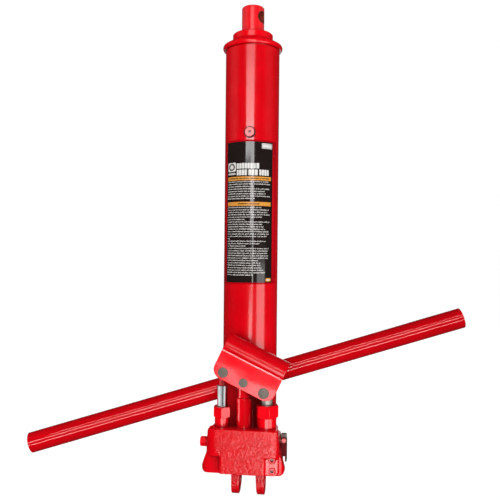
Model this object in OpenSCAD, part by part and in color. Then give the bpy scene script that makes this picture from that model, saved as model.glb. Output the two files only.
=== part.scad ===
// Long-ram hydraulic jack: twin-pump base with clevis, tall reservoir, eye-ended ram and pump handle.
// Origin: centre of the base clevis pin hole. X: clevis pin, +Z: along the ram, -Y: the pump side.

/* [Reservoir and ram] */
// Outer diameter of the reservoir tube
tube_d = 69; // [66:0.5:72]
// Wall of the reservoir tube
tube_wall = 3; // [2:0.5:4]
// Height of the top end of the reservoir tube
tube_top = 559; // [480:1:640]
// Bore of the pressure cylinder
cylinder_bore = 40; // [38:0.5:42]
// Outer diameter of the pressure cylinder
cylinder_d = 50; // [48:0.5:52]
// Diameter of the ram
ram_d = 28.9; // [27:0.1:30]
// Length of ram above the cap nut at rest
ram_proud = 35; // [30:1:60]
// Diameter of the cross hole in the ram head
ram_eye_d = 15.5; // [12:0.5:17]
// Turn of the ram head away from the X axis, in degrees
ram_turn = 25; // [0:1:90]

/* [Base] */
// Half width of the base block at its top
block_half_w = 42; // [41:0.5:44]
// Front face of the base block, as a distance in front of the tube axis
block_front = 70; // [68:0.5:74]
// Height of the top of the base block
block_top = 86; // [84:1:90]
// Height of the underside of the base block
block_bottom = 33; // [32:1:36]
// Radius of the round foot of the casting, under the tube
belly_r = 44; // [43:0.1:45]
// Gap between the two clevis ears
ear_gap = 19; // [15:0.5:21]
// Thickness of one clevis ear
ear_w = 11.5; // [10:0.5:12]
// Radius of the round end of an ear
ear_r = 14.5; // [13:0.5:16]
// Diameter of the clevis pin hole
pin_hole_d = 16; // [12:0.5:18]

/* [Pumps and rocker] */
// Distance between the two pump axes
pump_pitch = 54; // [52:0.5:56]
// Distance from the tube axis forward to the pump axes
pump_y = 51; // [50:0.5:52]
// Height of the rocker pivot
pivot_z = 141; // [138:1:146]
// Tilt of the rocker at rest, left side up, in degrees
rocker_tilt = 25.4; // [20:0.1:25.4]
// Length of the rocker and of its handle socket
rocker_len = 80; // [76:1:84]
// Width across the two rocker plates
rocker_w = 26; // [25:0.5:27]
// Thickness of the rocker sheet
rocker_sheet = 2.5; // [2:0.5:3]
// Bore of the handle socket
socket_bore = 22.3; // [22:0.1:22.6]
// Diameter of the left plunger
left_plunger_d = 12.5; // [11:0.5:12.5]
// Diameter of the right plunger
right_plunger_d = 14.7; // [14:0.1:15]

/* [Handle] */
// Outer diameter of the handle tube
handle_d = 27.5; // [26:0.1:28]
// Bore of the handle tube
handle_bore = 21.9; // [21.5:0.1:22.3]
// Slope of the stowed handle, in degrees
handle_slope = 16.7; // [10:0.1:18]
// Turn of the stowed handle about the tube axis, in degrees
handle_yaw = 7; // [0:1:10]
// Length of the lower half, from the joint
handle_lower_len = 311; // [250:1:330]
// Length of the upper half, from the joint
handle_upper_len = 301.6; // [250:0.1:330]
// Length of the reduced end that plugs into the lower half
handle_spigot = 60; // [40:1:70]

/* [Hidden] */

$fn = 96;
eps = 0.5;              // how far a cutting solid runs past the face it cuts
seat = 0.02;            // radial gap of a fixed fit
running = 0.05;         // radial gap of a running fit

paint = "#e8001c";
black = "#1b1b1d";
bright = "#d9dcdf";
steel = "#8f8c87";
spring_steel = "#5c5c60";
brass = "#b9924a";
copper = "#b06a45";

// Reservoir, cylinder and cap
tube_r = tube_d / 2;
tube_bore_r = tube_r - tube_wall;
tube_foot = 73;
gasket_t = 1;
cylinder_floor = 46;
cylinder_gasket_t = 1.5;
cylinder_r = cylinder_d / 2;
cylinder_top = tube_top - 11;
cap_top = tube_top + 16.5;
cap_skirt = tube_top - 4.5;
cap_spigot = tube_top - 19;
collar_r = 25.7;
ram_r = ram_d / 2;
ram_bore_r = ram_r + 0.15;
rod_seal_z = [tube_top - 3, tube_top + 2];
wiper_z = [tube_top + 10, tube_top + 14.5];
rod_seal_r = 18;
filler_z = tube_top - 114.4;
filler_turn = 2.3;
filler_hole_r = 5;
filler_disc_r = 5.75;
filler_ring_r = 7.1;
filler_ring_t = 1.3;
filler_socket_r = 2;
label_z = [filler_z - 186.1, filler_z - 11.4];
label_turn = 0.7;
label_half_angle = 54.5;
label_t = 0.3;

// Ram and piston
ram_top = cap_top + ram_proud;
ram_eye_z = ram_top - 14;
piston_z = [54, 68];
piston_r = cylinder_bore / 2 - running;
piston_stub_r = 9;
ram_foot = 49;
nut_af = 24;
seal_z = [56, 59.5];
guide_z = [62.5, 66.5];
groove_r = 16.5;

// Base block
block_corner_r = 9.5;
block_side = 44;
block_back_r = 41.5;
back_top = 62;
neck_r = 37;
slab_back = -54;
slab_back_r = 5;
shoulder_top = 75;
flare_z = 58;
left_toe_x = 51;
right_toe_x = 49.8;
toe_y = [-61, -45];
toe_drop = 2;
core_half_w = 41;
lower_boss_half_w = 27.5;
pad_x = [27, 42.5];
pad_z = [32.5, 55.5];
ear_splay = 2;
ear_root = 26;
pad_front = 66.5;
valve_x = 35.3;
valve_zs = [51.2, 38.5];
valve_bore_r = 3.5;
valve_plug_len = 6;
valve_ball_r = 3;
valve_ball_y = -48;
oil_hole_r = 1.4;
filter_y = -28.25;
filter_r = 2.6;

// Pumps, post and plungers
pump_x = pump_pitch / 2;
left_r = left_plunger_d / 2;
right_r = right_plunger_d / 2;
left_thread_r = 8.3;
left_neck_r = 9;
left_hex_af = 19.6;
left_hex_z = [97, 109.7];
left_foot = 64;
left_plunger_foot = 88;
left_seal_z = [103, 107];
left_seal_r = left_r + 2;
right_thread_r = 10;
right_neck_r = 12;
right_hex_af = 25.5;
right_hex_z = [98.5, 113.8];
right_foot = 58;
right_nose_r = 8.5;
right_thread_foot = 72;
right_plunger_foot = 60;
right_seal_z = [106, 111];
right_seal_r = right_r + 2.2;
post_r = 9.9;
post_head_r = 8.2;
post_thread_r = 7;
post_foot = 66;
post_shoulder = 121.4;
suction_ball_r = 2.5;
left_suction_seat = 54;
right_suction_seat = 50;
suction_hole_r = 1.6;
suction_chamber_r = suction_ball_r + 0.6;
gallery_z = 41.5;
gallery_r = 1.5;

// Rocker, its pins and the eyes of the plungers
pin_r = 4;
pin_arm = pump_x;
pin_drop = pin_arm * sin(rocker_tilt);
pin_near = pin_arm * cos(rocker_tilt);
rocker_low = -8.5;
socket_t = 30.5;
socket_r = socket_bore / 2;
socket_wall = 2.5;
plate_corner_r = 12;
rocker_front = -pump_y - rocker_w / 2;
pin_back = -36;
pin_head_t = 1.1;
circlip_r = 6;
circlip_y = [-37.9, -37];
eye_wall = 3.5;
eye_slot_h = 2 * pin_r + 0.5;
eye_w = 13;

// Side plug and release valve
side_plug_y = -55;
side_plug_z = 67;
side_plug_r = 5;
side_face_x = 43.8;
side_washer_t = 1.2;
side_hex_af = 10.5;
side_hex_end = 8.6;
release_y = -38;
release_z = 67;
release_gland_x = [36, 43.6];
release_bore_r = 6;
stem_r = 3;
stem_seal_x = [38, 40.5];
stem_seal_r = stem_r + 1.5;
release_seat_x = 22.5;
release_ball_r = 2.2;
release_port_x = 8;
link_x = [44.4, 51];
link_pivot_z = 68.7;
link_w = 12;
link_tongue = 5;
link_fork_z = 56;
tongue_x = 44.1;
tongue_z = [62, 75.7];
link_slot_top = 49.6;
link_bottom = 43.4;
link_slot_w = 3;
link_mid_x = (link_x[0] + link_x[1]) / 2;
link_pin_r = 2;

// Handle
handle_r = handle_d / 2;
handle_bore_r = handle_bore / 2;
handle_spigot_r = handle_bore_r - running;
handle_spigot_bore_r = 8.6;
handle_back = 48.9;
handle_mid_z = 122;

// Points of an arc about c from angle a to angle b
function arc(c, r, a, b, n = 12) =
  [for (i = [0 : n]) c + r * [cos(a + (b - a) * i / n), sin(a + (b - a) * i / n)]];

// A ring or tube about Z between two heights
module ring(r_out, r_in, z) {
  translate([0, 0, z[0]])
    difference() {
      cylinder(r = r_out, h = z[1] - z[0]);
      translate([0, 0, -eps]) cylinder(r = r_in, h = z[1] - z[0] + 2 * eps);
    }
}

// A cylinder about X, from x[0] to x[1]
module bar_x(r, x, y = 0, z = 0) {
  translate([x[0], y, z]) rotate([0, 90, 0]) cylinder(r = r, h = x[1] - x[0]);
}

// A cylinder about Y, from y[0] to y[1]
module bar_y(r, y, x = 0, z = 0) {
  translate([x, y[1], z]) rotate([90, 0, 0]) cylinder(r = r, h = y[1] - y[0]);
}

// A cylinder about Z, from z[0] to z[1]
module bar_z(r, z, x = 0, y = 0) {
  translate([x, y, z[0]]) cylinder(r = r, h = z[1] - z[0]);
}

// A hexagonal bar about Z with rounded-off corners, one corner turned to angle a
module hex_bar(af, z, a) {
  corner_r = af / sqrt(3);
  chamfer = corner_r - af / 2;
  intersection() {
    translate([0, 0, z[0]]) rotate([0, 0, a]) cylinder(r = corner_r, h = z[1] - z[0], $fn = 6);
    translate([0, 0, z[0]])
      rotate_extrude()
        polygon([[0, 0], [af / 2 - 0.2, 0], [corner_r, chamfer * 0.7],
                 [corner_r, z[1] - z[0] - chamfer * 0.7], [af / 2 - 0.2, z[1] - z[0]],
                 [0, z[1] - z[0]]]);
  }
}

// Moves from the rocker's own frame, with its pivot at the origin, to its place at rest
module at_rocker() {
  translate([0, -pump_y, pivot_z]) rotate([0, rocker_tilt, 0]) children();
}

// Places what is drawn along X on the axis of the stowed handle
module at_handle() {
  rotate([0, 0, handle_yaw])
    translate([0, handle_back, handle_mid_z])
      rotate([0, -handle_slope, 0])
        children();
}

// ---- Base casting ----

// Outline of the block's shoulders seen from above
module shoulder_plan() {
  f = block_front;
  w = block_side;
  c = block_corner_r;
  polygon(concat(
    arc([w - c, c - f], c, -90, 0),
    [[w, -30], [38, -18], [28, -8], [-28, -8], [-38, -18], [-w, -30]],
    arc([c - w, c - f], c, 180, 270)
  ));
}

// Outline of the top of the block: a slab under the pumps, and the spigot inside the tube
module slab_plan() {
  f = block_front;
  w = block_side;
  c = block_corner_r;
  b = slab_back_r;
  half = concat(
    arc([w - c, c - f], c, -90, 0),
    arc([w - b, slab_back - b], b, 0, 70, 6),
    [[38.5, -50], [38.5, -44], [30, -34], [24, -25]]
  );
  for (side = [0, 1])
    mirror([side, 0]) polygon(concat([[-1, -f]], half, [[-1, -25]]));
  circle(r = tube_bore_r + 1);
}

// Outline of the block seen from the front
module block_front_view() {
  w = block_half_w;
  r = 2;
  polygon(concat(
    [[1 - block_side, 54], [block_side - 1, 54], [block_side, flare_z]],
    arc([w - r, block_top - r], r, 0, 90, 6),
    arc([r - w, block_top - r], r, 90, 180, 6),
    [[-block_side, flare_z]]
  ));
}

// The round foot of the casting, and the square core that joins it to the front
module foot() {
  low = block_bottom;
  r = 6;
  rotate_extrude()
    polygon(concat(
      [[0, low]],
      arc([belly_r - r, low + r], r, -90, 0, 8),
      [[belly_r, 52], [block_back_r - 1, flare_z - 1], [0, flare_z - 1]]
    ));
  translate([-core_half_w, -48, low + 1.5]) cube([2 * core_half_w, 46, flare_z - low - 4]);
}

// A rounded toe at the foot of the front, out to toe_x
module toe(toe_x) {
  low = block_bottom - toe_drop;
  r = 6;
  lean = 17.5;
  intersection() {
    translate([0, -40, 0])
      rotate([90, 0, 0])
        linear_extrude(25)
          polygon(concat(
            [[20, low]],
            arc([toe_x - r, low + r], r, -90, lean, 10),
            [[block_side + 0.2, flare_z - 1.3], [20, flare_z - 1.3]]
          ));
    linear_extrude(block_top)
      polygon(concat(
        [[20, toe_y[0]]],
        arc([toe_x - 9, toe_y[0] + 9], 9, -90, 0, 8),
        arc([toe_x - 4, toe_y[1] - 4], 4, 0, 90, 5),
        [[20, toe_y[1]]]
      ));
  }
}

// The right clevis ear: its inner face leans away from the gap towards the foot
module ear() {
  x = ear_gap / 2;
  top = block_bottom + 2;
  intersection() {
    translate([x, 0, 0])
      rotate([90, 0, 90])
        linear_extrude(ear_w)
          polygon(concat(
            arc([0, 0], ear_r, 180, 360, 32),
            [[ear_r, ear_root], [ear_r + 4, top], [-ear_r - 4, top], [-ear_r, ear_root]]
          ));
    translate([0, 30, 0])
      rotate([90, 0, 0])
        linear_extrude(60)
          polygon([[x, top], [x, ear_root], [x + ear_splay, -ear_r], [x + ear_w, -ear_r],
                   [x + ear_w, top]]);
  }
}

module ears() {
  ear();
  mirror([1, 0, 0]) ear();
  translate([-ear_gap / 2 - eps, -ear_r, 24])
    cube([ear_gap + 2 * eps, 2 * ear_r, block_bottom - 22]);
}

// The thicker middle of the lower front face
module lower_boss() {
  w = lower_boss_half_w;
  r = 2.5;
  translate([0, 0, block_bottom + 0.5])
    linear_extrude(24)
      polygon(concat(
        [[-w, -30]],
        arc([r - w, r - block_front], r, 180, 270, 5),
        arc([w - r, r - block_front], r, 270, 360, 5),
        [[w, -30]]
      ));
}

// The machined pad for the two valve plugs
module valve_pad() {
  x = pad_x;
  z = pad_z;
  r = 2.5;
  c = 6;
  translate([0, -30, 0])
    rotate([90, 0, 0])
      linear_extrude(pad_front - 30)
        polygon(concat(
          [[x[0] - 1, z[0]], [x[1] - c, z[0]]],
          arc([x[1] - c, z[0] + c], c, -90, 0, 6),
          arc([x[1] - r, z[1] - r], r, 0, 90, 4),
          [[x[0] - 1, z[1]]]
        ));
}

module block_bores() {
  bar_z(cylinder_r + seat, [cylinder_floor, block_top + eps]);
  ring(tube_r + seat, tube_bore_r - seat, [tube_foot - gasket_t, block_top + eps]);
  bar_z(left_thread_r + seat, [left_foot, block_top + eps], -pump_x, -pump_y);
  bar_z(suction_chamber_r, [left_suction_seat, left_foot + eps], -pump_x, -pump_y);
  bar_z(suction_hole_r, [gallery_z - 3, left_suction_seat + eps], -pump_x, -pump_y);
  bar_z(right_thread_r + seat, [right_thread_foot, block_top + eps], pump_x, -pump_y);
  bar_z(right_nose_r + seat, [right_foot, right_thread_foot + eps], pump_x, -pump_y);
  bar_z(suction_chamber_r, [right_suction_seat, right_foot + eps], pump_x, -pump_y);
  bar_z(suction_hole_r, [gallery_z - 3, right_suction_seat + eps], pump_x, -pump_y);
  bar_z(post_thread_r + seat, [post_foot, block_top + eps], 0, -pump_y);
  bar_z(filter_r + seat, [block_top - 2, block_top + eps], 0, filter_y);
  bar_z(oil_hole_r, [gallery_z - 3, block_top - 1.5], 0, filter_y);
}

// Cross drillings: suction gallery, side plug, release valve and the two check valves
module valve_bores() {
  bar_x(gallery_r, [-pump_x, pump_x], -pump_y, gallery_z);
  bar_y(oil_hole_r, [-pump_y, filter_y], 0, gallery_z);
  bar_x(side_plug_r + seat, [-46, -37.2], side_plug_y, side_plug_z);
  bar_x(release_bore_r + seat, [release_gland_x[0], 50], release_y, release_z);
  bar_x(stem_r + running, [release_seat_x, release_gland_x[0] + eps], release_y, release_z);
  bar_x(oil_hole_r, [release_port_x, release_seat_x + eps], release_y, release_z);
  bar_y(oil_hole_r, [release_y, -24], release_port_x, release_z);
  for (z = valve_zs) {
    bar_y(valve_bore_r + seat, [-80, valve_ball_y + 3.5], valve_x, z);
    bar_y(oil_hole_r, [valve_ball_y + 3, -36], valve_x, z);
  }
}

module base_block() {
  color(paint)
    difference() {
      union() {
        intersection() {
          union() {
            linear_extrude(shoulder_top) shoulder_plan();
            linear_extrude(block_top) slab_plan();
            bar_z(neck_r, [0, tube_foot - gasket_t]);
            bar_z(block_back_r, [0, back_top]);
          }
          translate([0, 60, 0]) rotate([90, 0, 0]) linear_extrude(140) block_front_view();
        }
        foot();
        toe(right_toe_x);
        mirror([1, 0, 0]) toe(left_toe_x);
        lower_boss();
        valve_pad();
        ears();
      }
      block_bores();
      valve_bores();
      bar_x(pin_hole_d / 2, [-30, 30]);
    }
}

// ---- Reservoir, cylinder and cap ----

// Turns what is drawn along -Y to the filler's place on the tube
module at_filler() {
  rotate([0, 0, filler_turn]) translate([0, 0, filler_z]) children();
}

module reservoir_tube() {
  color(paint)
    difference() {
      ring(tube_r, tube_bore_r, [tube_foot, tube_top]);
      at_filler() bar_y(filler_hole_r + seat, [-tube_r - 5, -20]);
    }
}

module tube_base_gasket() {
  color(copper) ring(tube_r, tube_bore_r, [tube_foot - gasket_t, tube_foot]);
}

module tube_top_gasket() {
  color(copper) ring(tube_r, tube_bore_r, [tube_top, tube_top + gasket_t]);
}

module cylinder_gasket() {
  color(copper)
    ring(cylinder_r, cylinder_bore / 2, [cylinder_floor, cylinder_floor + cylinder_gasket_t]);
}

module inner_cylinder() {
  color(steel)
    difference() {
      ring(cylinder_r, cylinder_bore / 2, [cylinder_floor + cylinder_gasket_t, cylinder_top]);
      bar_y(oil_hole_r, [-30, -15], release_port_x, release_z);
    }
}

// Outline of the cap from the axis outwards, with its rounded bead
module cap_outline() {
  polygon(concat(
    [[0, cap_spigot], [tube_bore_r - 0.1, cap_spigot],
     [tube_bore_r - 0.1, tube_top + gasket_t], [tube_r + 0.1, tube_top + gasket_t],
     [tube_r + 0.1, cap_skirt], [tube_r + 0.5, cap_skirt]],
    arc([34.2, tube_top - 1.5], 4, -50, 55, 12),
    [[35, tube_top + 2.6], [33, tube_top + 3.6], [29, tube_top + 5.7], [26.6, tube_top + 7.4],
     [collar_r, tube_top + 8.8], [collar_r, cap_top - 1], [collar_r - 1, cap_top], [0, cap_top]]
  ));
}

module cap_nut() {
  color(paint)
    difference() {
      rotate_extrude() cap_outline();
      bar_z(cylinder_r + seat, [cap_spigot - eps, cylinder_top]);
      bar_z(ram_bore_r, [cap_spigot, cap_top + eps]);
      bar_z(rod_seal_r, rod_seal_z);
      bar_z(rod_seal_r, wiper_z);
    }
}

module rod_seal() {
  color(black) ring(rod_seal_r, ram_r + running, rod_seal_z);
}

module wiper_seal() {
  color(black) ring(rod_seal_r, ram_r + running, wiper_z);
}

module filler_plug() {
  color(paint)
    at_filler()
      difference() {
        union() {
          bar_y(filler_hole_r - 0.1, [-tube_r - filler_ring_t, -tube_bore_r + 1.5]);
          bar_y(filler_disc_r, [-tube_r - 3, -tube_r - filler_ring_t]);
        }
        bar_y(filler_socket_r, [-tube_r - 4, -tube_r + 1]);
      }
}

module filler_seal() {
  color(black)
    at_filler()
      difference() {
        bar_y(filler_ring_r, [-tube_r - filler_ring_t, -tube_r + 1]);
        bar_y(filler_hole_r, [-tube_r - 2, -tube_r + 2]);
        cylinder(r = tube_r + 0.02, h = 40, center = true);
      }
}

module label() {
  color(black)
    translate([0, 0, label_z[0]])
      rotate([0, 0, -90 + label_turn - label_half_angle])
        rotate_extrude(angle = 2 * label_half_angle)
          translate([tube_r + 0.02, 0]) square([label_t, label_z[1] - label_z[0]]);
}

// ---- Post and pumps ----

module fulcrum_post() {
  color(paint)
    translate([0, -pump_y, 0])
      difference() {
        union() {
          bar_z(post_thread_r, [post_foot, block_top]);
          translate([0, 0, block_top])
            rotate_extrude()
              polygon([[0, 0], [post_r, 0], [post_r, post_shoulder - block_top - 1],
                       [post_r - 1, post_shoulder - block_top], [0, post_shoulder - block_top]]);
          intersection() {
            bar_z(post_head_r, [post_shoulder - 1, pivot_z + post_head_r]);
            union() {
              bar_y(post_head_r, [-12, 12], 0, pivot_z);
              bar_z(post_head_r, [post_shoulder - 1, pivot_z]);
            }
          }
        }
        bar_y(pin_r + running, [-15, 15], 0, pivot_z);
      }
}

module left_pump_cylinder() {
  color(paint)
    translate([-pump_x, -pump_y, 0])
      difference() {
        union() {
          bar_z(left_thread_r, [left_foot, block_top]);
          bar_z(left_neck_r, [block_top, left_hex_z[0] + 1]);
          hex_bar(left_hex_af, left_hex_z, -85.5);
        }
        bar_z(left_r + running, [left_foot - eps, left_hex_z[1] + eps]);
        bar_z(left_seal_r, left_seal_z);
      }
}

module left_pump_seal() {
  color(black)
    translate([-pump_x, -pump_y, 0]) ring(left_seal_r, left_r + running, left_seal_z);
}

module right_pump_cylinder() {
  color(paint)
    translate([pump_x, -pump_y, 0])
      difference() {
        union() {
          bar_z(right_nose_r, [right_foot, right_thread_foot]);
          bar_z(right_thread_r, [right_thread_foot, block_top]);
          bar_z(right_neck_r, [block_top, right_hex_z[0] + 1]);
          hex_bar(right_hex_af, right_hex_z, -69.6);
        }
        bar_z(right_r + running, [right_foot - eps, right_hex_z[1] + eps]);
        bar_z(right_seal_r, right_seal_z);
      }
}

module right_pump_seal() {
  color(black)
    translate([pump_x, -pump_y, 0]) ring(right_seal_r, right_r + running, right_seal_z);
}

// A bar shape with round ends, span long between the end centres
module stadium(span, r) {
  square([span, 2 * r], center = true);
  for (end = [-1, 1])
    translate([end * span / 2, 0]) circle(r = r);
}

// The slotted eye of a plunger: the slot lets the pin move inwards as the rocker tilts
module plunger_eye(side, z) {
  pin_shift = pump_x - pin_near;
  translate([-side * pin_shift / 2, eye_w / 2, z])
    rotate([90, 0, 0])
      linear_extrude(eye_w)
        difference() {
          stadium(pin_shift, eye_slot_h / 2 + eye_wall);
          stadium(pin_shift + 0.6, eye_slot_h / 2);
        }
}

module left_plunger() {
  z = pivot_z + pin_drop;
  color(bright)
    translate([-pump_x, -pump_y, 0]) {
      bar_z(left_r, [left_plunger_foot, z - 18]);
      bar_z(4, [z - 19, z - eye_slot_h / 2 - 1]);
      plunger_eye(-1, z);
    }
}

module right_plunger() {
  z = pivot_z - pin_drop;
  color(steel)
    translate([pump_x, -pump_y, 0]) {
      bar_z(right_r, [right_plunger_foot, z - eye_slot_h / 2 - eye_wall + 1.5]);
      plunger_eye(1, z);
    }
}

// ---- Rocker and its pins ----

// Section of the folded sheet: two plates hanging from a round socket
module rocker_section() {
  w = rocker_w / 2;
  difference() {
    union() {
      translate([0, socket_t]) circle(r = socket_r + socket_wall);
      translate([-w, rocker_low]) square([rocker_w, socket_t - rocker_low - 3]);
    }
    translate([0, socket_t]) circle(r = socket_r);
    translate([rocker_sheet - w, rocker_low - eps])
      square([rocker_w - 2 * rocker_sheet, socket_t - rocker_low + eps - 3]);
  }
}

// Side view of the rocker, with its round lower corners
module rocker_side() {
  w = rocker_len / 2;
  r = plate_corner_r;
  top = socket_t + socket_r + socket_wall + 1;
  polygon(concat(
    [[w, top], [-w, top]],
    arc([r - w, rocker_low + r], r, 180, 270, 10),
    arc([w - r, rocker_low + r], r, 270, 360, 10)
  ));
}

module rocker_bracket() {
  color(paint)
    at_rocker()
      difference() {
        intersection() {
          translate([-rocker_len / 2 - eps, 0, 0])
            rotate([90, 0, 90]) linear_extrude(rocker_len + 2 * eps) rocker_section();
          translate([0, 40, 0]) rotate([90, 0, 0]) linear_extrude(80) rocker_side();
        }
        for (s = [-pin_arm, 0, pin_arm]) bar_y(pin_r + seat, [-20, 20], s, 0);
      }
}

// A headed pin through both plates, at s along the rocker
module rocker_pin(s, head_r) {
  color(steel)
    at_rocker() translate([s, pump_y, 0]) {
      difference() {
        bar_y(pin_r, [rocker_front, pin_back]);
        difference() {
          bar_y(pin_r + 1, circlip_y);
          bar_y(pin_r - 0.6, [circlip_y[0] - 1, circlip_y[1] + 1]);
        }
      }
      translate([0, rocker_front, 0])
        rotate([90, 0, 0])
          rotate_extrude()
            polygon([[0, 0], [head_r, 0], [head_r, pin_head_t - 0.4], [head_r - 0.4, pin_head_t],
                     [0, pin_head_t]]);
    }
}

module fulcrum_pin() {
  rocker_pin(0, 5.5);
}

module left_plunger_pin() {
  rocker_pin(-pin_arm, 6.2);
}

module right_plunger_pin() {
  rocker_pin(pin_arm, 6.5);
}

module pin_circlips() {
  color(spring_steel)
    at_rocker()
      for (s = [-pin_arm, 0, pin_arm])
        translate([s, pump_y, 0])
          difference() {
            bar_y(circlip_r, circlip_y);
            bar_y(pin_r - 0.58, [circlip_y[0] - 1, circlip_y[1] + 1]);
            translate([-1.5, circlip_y[0] - 1, -8]) cube([3, 3, 8]);
          }
}

// ---- Plugs, valves and filter ----

module valve_plugs() {
  color(paint)
    for (z = valve_zs)
      difference() {
        bar_y(valve_bore_r, [-pad_front, -pad_front + valve_plug_len], valve_x, z);
        translate([valve_x, -pad_front + 3, z])
          rotate([90, 0, 0]) cylinder(d = 4.6, h = 5, $fn = 6);
      }
}

module side_plug() {
  color(paint) {
    bar_x(side_plug_r, [-side_face_x, -37.6], side_plug_y, side_plug_z);
    translate([-side_face_x, side_plug_y, side_plug_z])
      rotate([0, -90, 0]) hex_bar(side_hex_af, [side_washer_t, side_hex_end], 90);
    bar_x(4.6, [-side_face_x - 2, -side_face_x + 0.2], side_plug_y, side_plug_z);
  }
}

module side_plug_seal() {
  color(copper)
    translate([-side_face_x, side_plug_y, side_plug_z])
      rotate([0, -90, 0]) ring(6.2, 4.62, [0, side_washer_t]);
}

module suction_filter() {
  color(brass)
    translate([0, filter_y, block_top - 2])
      difference() {
        cylinder(r = filter_r, h = 4);
        translate([0, 0, -eps]) cylinder(r = filter_r - 0.5, h = 3.7 + eps);
      }
}

// A ball that rests on the rim of a round seat, s above the seat's plane
function ball_rise(r, hole_r) = sqrt(r * r - hole_r * hole_r) + 0.02;

module left_suction_ball() {
  color(bright)
    translate([-pump_x, -pump_y, left_suction_seat + ball_rise(suction_ball_r, suction_hole_r)])
      sphere(r = suction_ball_r);
}

module right_suction_ball() {
  color(bright)
    translate([pump_x, -pump_y, right_suction_seat + ball_rise(suction_ball_r, suction_hole_r)])
      sphere(r = suction_ball_r);
}

module valve_ball(z) {
  color(bright)
    translate([valve_x, valve_ball_y + 3.5 - ball_rise(valve_ball_r, oil_hole_r), z])
      sphere(r = valve_ball_r);
}

module delivery_ball() {
  valve_ball(valve_zs[0]);
}

module relief_ball() {
  valve_ball(valve_zs[1]);
}

// A coil spring about Y between two ends, as one swept tube
module coil_y(r, wire_r, y, turns, x, z) {
  sides = 8;
  steps = turns * 16;
  len = y[1] - y[0] - 2 * wire_r;
  rise = atan(len / turns / (2 * PI * r));
  points = [for (i = [0 : steps]) let (a = i * 22.5)
    for (k = [0 : sides - 1]) let (b = k * 360 / sides, u = wire_r * cos(b), v = wire_r * sin(b))
      [(r + u) * cos(a) + v * sin(rise) * sin(a),
       y[0] + wire_r + len * i / steps + v * cos(rise),
       (r + u) * sin(a) - v * sin(rise) * cos(a)]];
  faces = concat(
    [[for (k = [0 : sides - 1]) k]],
    [for (i = [0 : steps - 1]) for (k = [0 : sides - 1])
      [i * sides + k, (i + 1) * sides + k, (i + 1) * sides + (k + 1) % sides,
       i * sides + (k + 1) % sides]],
    [[for (k = [sides - 1 : -1 : 0]) steps * sides + k]]
  );
  translate([x, 0, z]) polyhedron(points, faces, convexity = 10);
}

module valve_spring(z) {
  color(spring_steel)
    coil_y(2.4, 0.35, [-pad_front + valve_plug_len + 0.1, valve_ball_y - 2.3], 4, valve_x, z);
}

module delivery_spring() {
  valve_spring(valve_zs[0]);
}

module relief_spring() {
  valve_spring(valve_zs[1]);
}

// ---- Release valve and its link ----

module release_gland() {
  color(paint)
    difference() {
      bar_x(release_bore_r, release_gland_x, release_y, release_z);
      bar_x(stem_r + running, [30, 50], release_y, release_z);
      bar_x(stem_seal_r, stem_seal_x, release_y, release_z);
    }
}

module release_o_ring() {
  color(black)
    difference() {
      bar_x(stem_seal_r, stem_seal_x, release_y, release_z);
      bar_x(stem_r + running, [37, 42], release_y, release_z);
    }
}

module release_ball() {
  color(bright)
    translate([release_seat_x + ball_rise(release_ball_r, oil_hole_r), release_y, release_z])
      sphere(r = release_ball_r);
}

module release_stem() {
  r = 1.5;
  right = link_x[1] - 0.2;
  color(steel)
    difference() {
      union() {
        bar_x(stem_r, [28.2, link_x[0] - 0.05], release_y, release_z);
        translate([0, release_y + link_tongue / 2, 0])
          rotate([90, 0, 0])
            linear_extrude(link_tongue)
              polygon(concat(
                arc([right - r, tongue_z[0] + r], r, -90, 0, 5),
                arc([right - r, tongue_z[1] - r], r, 0, 90, 5),
                arc([tongue_x + r, tongue_z[1] - r], r, 90, 180, 5),
                arc([tongue_x + r, tongue_z[0] + r], r, 180, 270, 5)
              ));
      }
      bar_y(link_pin_r + seat, [release_y - 8, release_y + 8], link_mid_x, link_pivot_z);
    }
}

module release_link_pin() {
  half = link_w / 2 + 0.1;
  head_r = 2.7;
  head_t = 0.9;
  color(paint) {
    bar_y(link_pin_r, [release_y - half, release_y + half], link_mid_x, link_pivot_z);
    bar_y(head_r, [release_y - half - head_t, release_y - half], link_mid_x, link_pivot_z);
    bar_y(head_r, [release_y + half, release_y + half + head_t], link_mid_x, link_pivot_z);
  }
}

// A short bar with a fork at each end: the upper one takes the stem's tongue
module release_link() {
  w = link_x[1] - link_x[0];
  x = link_mid_x;
  color(paint)
    difference() {
      translate([link_x[0], release_y - link_w / 2, link_bottom])
        cube([w, link_w, link_pivot_z - link_bottom]);
      translate([link_x[0] - 1, release_y - link_tongue / 2 - 0.3, link_fork_z])
        cube([w + 2, link_tongue + 0.6, 20]);
      translate([x - link_slot_w / 2, release_y - link_w, link_bottom - 1])
        cube([link_slot_w, 2 * link_w, link_slot_top - link_bottom + 1]);
      bar_y(link_pin_r + running, [release_y - 8, release_y + 8], x, link_pivot_z);
    }
  color(paint)
    for (side = [-1, 1])
      difference() {
        bar_y(w / 2, side > 0 ? [release_y + link_tongue / 2 + 0.3, release_y + link_w / 2]
                              : [release_y - link_w / 2, release_y - link_tongue / 2 - 0.3],
              x, link_pivot_z);
        bar_y(link_pin_r + running, [release_y - 8, release_y + 8], x, link_pivot_z);
      }
}

// ---- Ram and piston ----

module ram() {
  color(bright)
    difference() {
      rotate_extrude()
        polygon([[0, ram_foot], [piston_stub_r, ram_foot], [piston_stub_r, piston_z[1]],
                 [ram_r, piston_z[1]], [ram_r, ram_top - 1.2], [ram_r - 1.2, ram_top],
                 [0, ram_top]]);
      rotate([0, 0, -ram_turn]) bar_x(ram_eye_d / 2, [-20, 20], 0, ram_eye_z);
    }
}

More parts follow.
